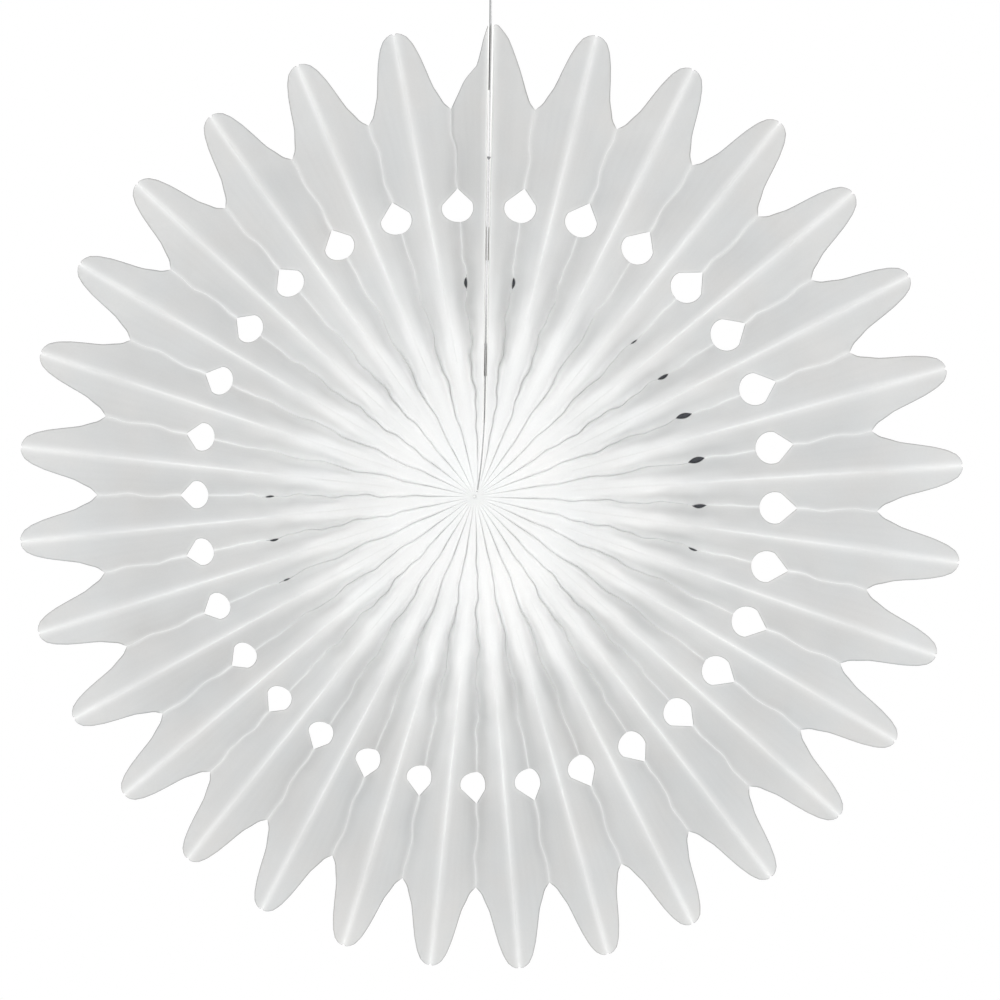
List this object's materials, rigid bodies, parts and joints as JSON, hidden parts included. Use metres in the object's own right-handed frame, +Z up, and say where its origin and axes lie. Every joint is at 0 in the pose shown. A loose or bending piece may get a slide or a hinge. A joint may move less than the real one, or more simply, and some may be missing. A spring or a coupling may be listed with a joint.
{
  "type": "tissue paper fan decoration",
  "caption": "Round pleated tissue-paper fan with pointed petals, a ring of teardrop cut-outs and a thread loop to hang it from.",
  "frame": {"origin": "top of the inside of the hanging loop, where a hook carries the fan", "axes": "+Z up, +X to the right and -Y towards the viewer; the open fan lies in the XZ plane"},
  "size_m": [0.6331, 0.0395, 0.6804],
  "materials": {
    "tissue": "matte",
    "card": "matte",
    "thread": "matte",
    "adhesive_tab": "satin"
  },
  "bodies": {
    "hanger": {"hanging_loop": "thread", "hanging_knot": "thread"},
    "fan": {"end_leaf_left": "tissue", "end_card_left": "card", "adhesive_tab_inner": "adhesive_tab", "adhesive_tab_outer": "adhesive_tab", "hub_binding_thread": "thread", "seam_strand_left": "thread", "seam_strand_right": "thread", "tie_knot": "thread", "hanging_thread": "thread", "thread_tail_left": "thread", "thread_tail_right": "thread"},
    "right_end": {"end_leaf_right": "tissue", "end_card_right": "card"},
    "petal_01": {"tissue_petal_01": "tissue"},
    "petal_02": {"tissue_petal_02": "tissue"},
    "petal_03": {"tissue_petal_03": "tissue"},
    "petal_04": {"tissue_petal_04": "tissue"},
    "petal_05": {"tissue_petal_05": "tissue"},
    "petal_06": {"tissue_petal_06": "tissue"},
    "petal_07": {"tissue_petal_07": "tissue"},
    "petal_08": {"tissue_petal_08": "tissue"},
    "petal_09": {"tissue_petal_09": "tissue"},
    "petal_10": {"tissue_petal_10": "tissue"},
    "petal_11": {"tissue_petal_11": "tissue"},
    "petal_12": {"tissue_petal_12": "tissue"},
    "petal_13": {"tissue_petal_13": "tissue"},
    "petal_14": {"tissue_petal_14": "tissue"},
    "petal_15": {"tissue_petal_15": "tissue"},
    "petal_16": {"tissue_petal_16": "tissue"},
    "petal_17": {"tissue_petal_17": "tissue"},
    "petal_18": {"tissue_petal_18": "tissue"},
    "petal_19": {"tissue_petal_19": "tissue"},
    "petal_20": {"tissue_petal_20": "tissue"},
    "petal_21": {"tissue_petal_21": "tissue"},
    "petal_22": {"tissue_petal_22": "tissue"},
    "petal_23": {"tissue_petal_23": "tissue"},
    "petal_24": {"tissue_petal_24": "tissue"},
    "petal_25": {"tissue_petal_25": "tissue"},
    "petal_26": {"tissue_petal_26": "tissue"},
    "petal_27": {"tissue_petal_27": "tissue"},
    "petal_28": {"tissue_petal_28": "tissue"},
    "petal_29": {"tissue_petal_29": "tissue"},
    "petal_30": {"tissue_petal_30": "tissue"}
  },
  "joints": [
    {"name": "thread_spin", "type": "hinge", "parent": "hanger", "child": "fan", "pos_m": [0, 0, 0], "axis": [0, 0, 1], "continuous": true},
    {"name": "fan_fold", "type": "hinge", "parent": "fan", "child": "right_end", "pos_m": [-0.01143, 0, -0.3625], "axis": [0, 1, 0], "range_deg": [0, 352], "deforming": ["end_leaf_right", "end_leaf_left"]},
    {"name": "petal_01_fold", "type": "hinge", "parent": "fan", "child": "petal_01", "pos_m": [-0.01143, 0, -0.3625], "axis": [0, 1, 0], "range_deg": [0, 340.3], "deforming": ["tissue_petal_01"]},
    {"name": "petal_02_fold", "type": "hinge", "parent": "fan", "child": "petal_02", "pos_m": [-0.01143, 0, -0.3625], "axis": [0, 1, 0], "range_deg": [0, 328.09], "deforming": ["tissue_petal_02"]},
    {"name": "petal_03_fold", "type": "hinge", "parent": "fan", "child": "petal_03", "pos_m": [-0.01143, 0, -0.3625], "axis": [0, 1, 0], "range_deg": [0, 315.91], "deforming": ["tissue_petal_03"]},
    {"name": "petal_04_fold", "type": "hinge", "parent": "fan", "child": "petal_04", "pos_m": [-0.01143, 0, -0.3625], "axis": [0, 1, 0], "range_deg": [0, 303.8], "deforming": ["tissue_petal_04"]},
    {"name": "petal_05_fold", "type": "hinge", "parent": "fan", "child": "petal_05", "pos_m": [-0.01143, 0, -0.3625], "axis": [0, 1, 0], "range_deg": [0, 291.79], "deforming": ["tissue_petal_05"]},
    {"name": "petal_06_fold", "type": "hinge", "parent": "fan", "child": "petal_06", "pos_m": [-0.01143, 0, -0.3625], "axis": [0, 1, 0], "range_deg": [0, 279.89], "deforming": ["tissue_petal_06"]},
    {"name": "petal_07_fold", "type": "hinge", "parent": "fan", "child": "petal_07", "pos_m": [-0.01143, 0, -0.3625], "axis": [0, 1, 0], "range_deg": [0, 268.13], "deforming": ["tissue_petal_07"]},
    {"name": "petal_08_fold", "type": "hinge", "parent": "fan", "child": "petal_08", "pos_m": [-0.01143, 0, -0.3625], "axis": [0, 1, 0], "range_deg": [0, 256.52], "deforming": ["tissue_petal_08"]},
    {"name": "petal_09_fold", "type": "hinge", "parent": "fan", "child": "petal_09", "pos_m": [-0.01143, 0, -0.3625], "axis": [0, 1, 0], "range_deg": [0, 245.07], "deforming": ["tissue_petal_09"]},
    {"name": "petal_10_fold", "type": "hinge", "parent": "fan", "child": "petal_10", "pos_m": [-0.01143, 0, -0.3625], "axis": [0, 1, 0], "range_deg": [0, 233.78], "deforming": ["tissue_petal_10"]},
    {"name": "petal_11_fold", "type": "hinge", "parent": "fan", "child": "petal_11", "pos_m": [-0.01143, 0, -0.3625], "axis": [0, 1, 0], "range_deg": [0, 222.65], "deforming": ["tissue_petal_11"]},
    {"name": "petal_12_fold", "type": "hinge", "parent": "fan", "child": "petal_12", "pos_m": [-0.01143, 0, -0.3625], "axis": [0, 1, 0], "range_deg": [0, 211.66], "deforming": ["tissue_petal_12"]},
    {"name": "petal_13_fold", "type": "hinge", "parent": "fan", "child": "petal_13", "pos_m": [-0.01143, 0, -0.3625], "axis": [0, 1, 0], "range_deg": [0, 200.8], "deforming": ["tissue_petal_13"]},
    {"name": "petal_14_fold", "type": "hinge", "parent": "fan", "child": "petal_14", "pos_m": [-0.01143, 0, -0.3625], "axis": [0, 1, 0], "range_deg": [0, 190.04], "deforming": ["tissue_petal_14"]},
    {"name": "petal_15_fold", "type": "hinge", "parent": "fan", "child": "petal_15", "pos_m": [-0.01143, 0, -0.3625], "axis": [0, 1, 0], "range_deg": [0, 179.35], "deforming": ["tissue_petal_15"]},
    {"name": "petal_16_fold", "type": "hinge", "parent": "fan", "child": "petal_16", "pos_m": [-0.01143, 0, -0.3625], "axis": [0, 1, 0], "range_deg": [0, 168.72], "deforming": ["tissue_petal_16"]},
    {"name": "petal_17_fold", "type": "hinge", "parent": "fan", "child": "petal_17", "pos_m": [-0.01143, 0, -0.3625], "axis": [0, 1, 0], "range_deg": [0, 158.1], "deforming": ["tissue_petal_17"]},
    {"name": "petal_18_fold", "type": "hinge", "parent": "fan", "child": "petal_18", "pos_m": [-0.01143, 0, -0.3625], "axis": [0, 1, 0], "range_deg": [0, 147.46], "deforming": ["tissue_petal_18"]},
    {"name": "petal_19_fold", "type": "hinge", "parent": "fan", "child": "petal_19", "pos_m": [-0.01143, 0, -0.3625], "axis": [0, 1, 0], "range_deg": [0, 136.76], "deforming": ["tissue_petal_19"]},
    {"name": "petal_20_fold", "type": "hinge", "parent": "fan", "child": "petal_20", "pos_m": [-0.01143, 0, -0.3625], "axis": [0, 1, 0], "range_deg": [0, 125.99], "deforming": ["tissue_petal_20"]},
    {"name": "petal_21_fold", "type": "hinge", "parent": "fan", "child": "petal_21", "pos_m": [-0.01143, 0, -0.3625], "axis": [0, 1, 0], "range_deg": [0, 115.11], "deforming": ["tissue_petal_21"]},
    {"name": "petal_22_fold", "type": "hinge", "parent": "fan", "child": "petal_22", "pos_m": [-0.01143, 0, -0.3625], "axis": [0, 1, 0], "range_deg": [0, 104.11], "deforming": ["tissue_petal_22"]},
    {"name": "petal_23_fold", "type": "hinge", "parent": "fan", "child": "petal_23", "pos_m": [-0.01143, 0, -0.3625], "axis": [0, 1, 0], "range_deg": [0, 92.95], "deforming": ["tissue_petal_23"]},
    {"name": "petal_24_fold", "type": "hinge", "parent": "fan", "child": "petal_24", "pos_m": [-0.01143, 0, -0.3625], "axis": [0, 1, 0], "range_deg": [0, 81.64], "deforming": ["tissue_petal_24"]},
    {"name": "petal_25_fold", "type": "hinge", "parent": "fan", "child": "petal_25", "pos_m": [-0.01143, 0, -0.3625], "axis": [0, 1, 0], "range_deg": [0, 70.17], "deforming": ["tissue_petal_25"]},
    {"name": "petal_26_fold", "type": "hinge", "parent": "fan", "child": "petal_26", "pos_m": [-0.01143, 0, -0.3625], "axis": [0, 1, 0], "range_deg": [0, 58.54], "deforming": ["tissue_petal_26"]},
    {"name": "petal_27_fold", "type": "hinge", "parent": "fan", "child": "petal_27", "pos_m": [-0.01143, 0, -0.3625], "axis": [0, 1, 0], "range_deg": [0, 46.76], "deforming": ["tissue_petal_27"]},
    {"name": "petal_28_fold", "type": "hinge", "parent": "fan", "child": "petal_28", "pos_m": [-0.01143, 0, -0.3625], "axis": [0, 1, 0], "range_deg": [0, 34.85], "deforming": ["tissue_petal_28"]},
    {"name": "petal_29_fold", "type": "hinge", "parent": "fan", "child": "petal_29", "pos_m": [-0.01143, 0, -0.3625], "axis": [0, 1, 0], "range_deg": [0, 22.82], "deforming": ["tissue_petal_29"]},
    {"name": "petal_30_fold", "type": "hinge", "parent": "fan", "child": "petal_30", "pos_m": [-0.01143, 0, -0.3625], "axis": [0, 1, 0], "range_deg": [0, 10.69], "deforming": ["tissue_petal_30"]}
  ],
  "couplings": [
    {"joint": "petal_01_fold", "follows": "fan_fold", "ratio": 0.96673},
    {"joint": "petal_02_fold", "follows": "fan_fold", "ratio": 0.93204},
    {"joint": "petal_03_fold", "follows": "fan_fold", "ratio": 0.89745},
    {"joint": "petal_04_fold", "follows": "fan_fold", "ratio": 0.86304},
    {"joint": "petal_05_fold", "follows": "fan_fold", "ratio": 0.82891},
    {"joint": "petal_06_fold", "follows": "fan_fold", "ratio": 0.7951},
    {"joint": "petal_07_fold", "follows": "fan_fold", "ratio": 0.76169},
    {"joint": "petal_08_fold", "follows": "fan_fold", "ratio": 0.72872},
    {"joint": "petal_09_fold", "follows": "fan_fold", "ratio": 0.69619},
    {"joint": "petal_10_fold", "follows": "fan_fold", "ratio": 0.66412},
    {"joint": "petal_11_fold", "follows": "fan_fold", "ratio": 0.6325},
    {"joint": "petal_12_fold", "follows": "fan_fold", "ratio": 0.60128},
    {"joint": "petal_13_fold", "follows": "fan_fold", "ratio": 0.57042},
    {"joint": "petal_14_fold", "follows": "fan_fold", "ratio": 0.53985},
    {"joint": "petal_15_fold", "follows": "fan_fold", "ratio": 0.5095},
    {"joint": "petal_16_fold", "follows": "fan_fold", "ratio": 0.47929},
    {"joint": "petal_17_fold", "follows": "fan_fold", "ratio": 0.44911},
    {"joint": "petal_18_fold", "follows": "fan_fold", "ratio": 0.41888},
    {"joint": "petal_19_fold", "follows": "fan_fold", "ratio": 0.3885},
    {"joint": "petal_20_fold", "follows": "fan_fold", "ratio": 0.3579},
    {"joint": "petal_21_fold", "follows": "fan_fold", "ratio": 0.327},
    {"joint": "petal_22_fold", "follows": "fan_fold", "ratio": 0.29573},
    {"joint": "petal_23_fold", "follows": "fan_fold", "ratio": 0.26404},
    {"joint": "petal_24_fold", "follows": "fan_fold", "ratio": 0.23191},
    {"joint": "petal_25_fold", "follows": "fan_fold", "ratio": 0.19932},
    {"joint": "petal_26_fold", "follows": "fan_fold", "ratio": 0.16628},
    {"joint": "petal_27_fold", "follows": "fan_fold", "ratio": 0.13282},
    {"joint": "petal_28_fold", "follows": "fan_fold", "ratio": 0.098967},
    {"joint": "petal_29_fold", "follows": "fan_fold", "ratio": 0.064788},
    {"joint": "petal_30_fold", "follows": "fan_fold", "ratio": 0.030353}
  ]
}
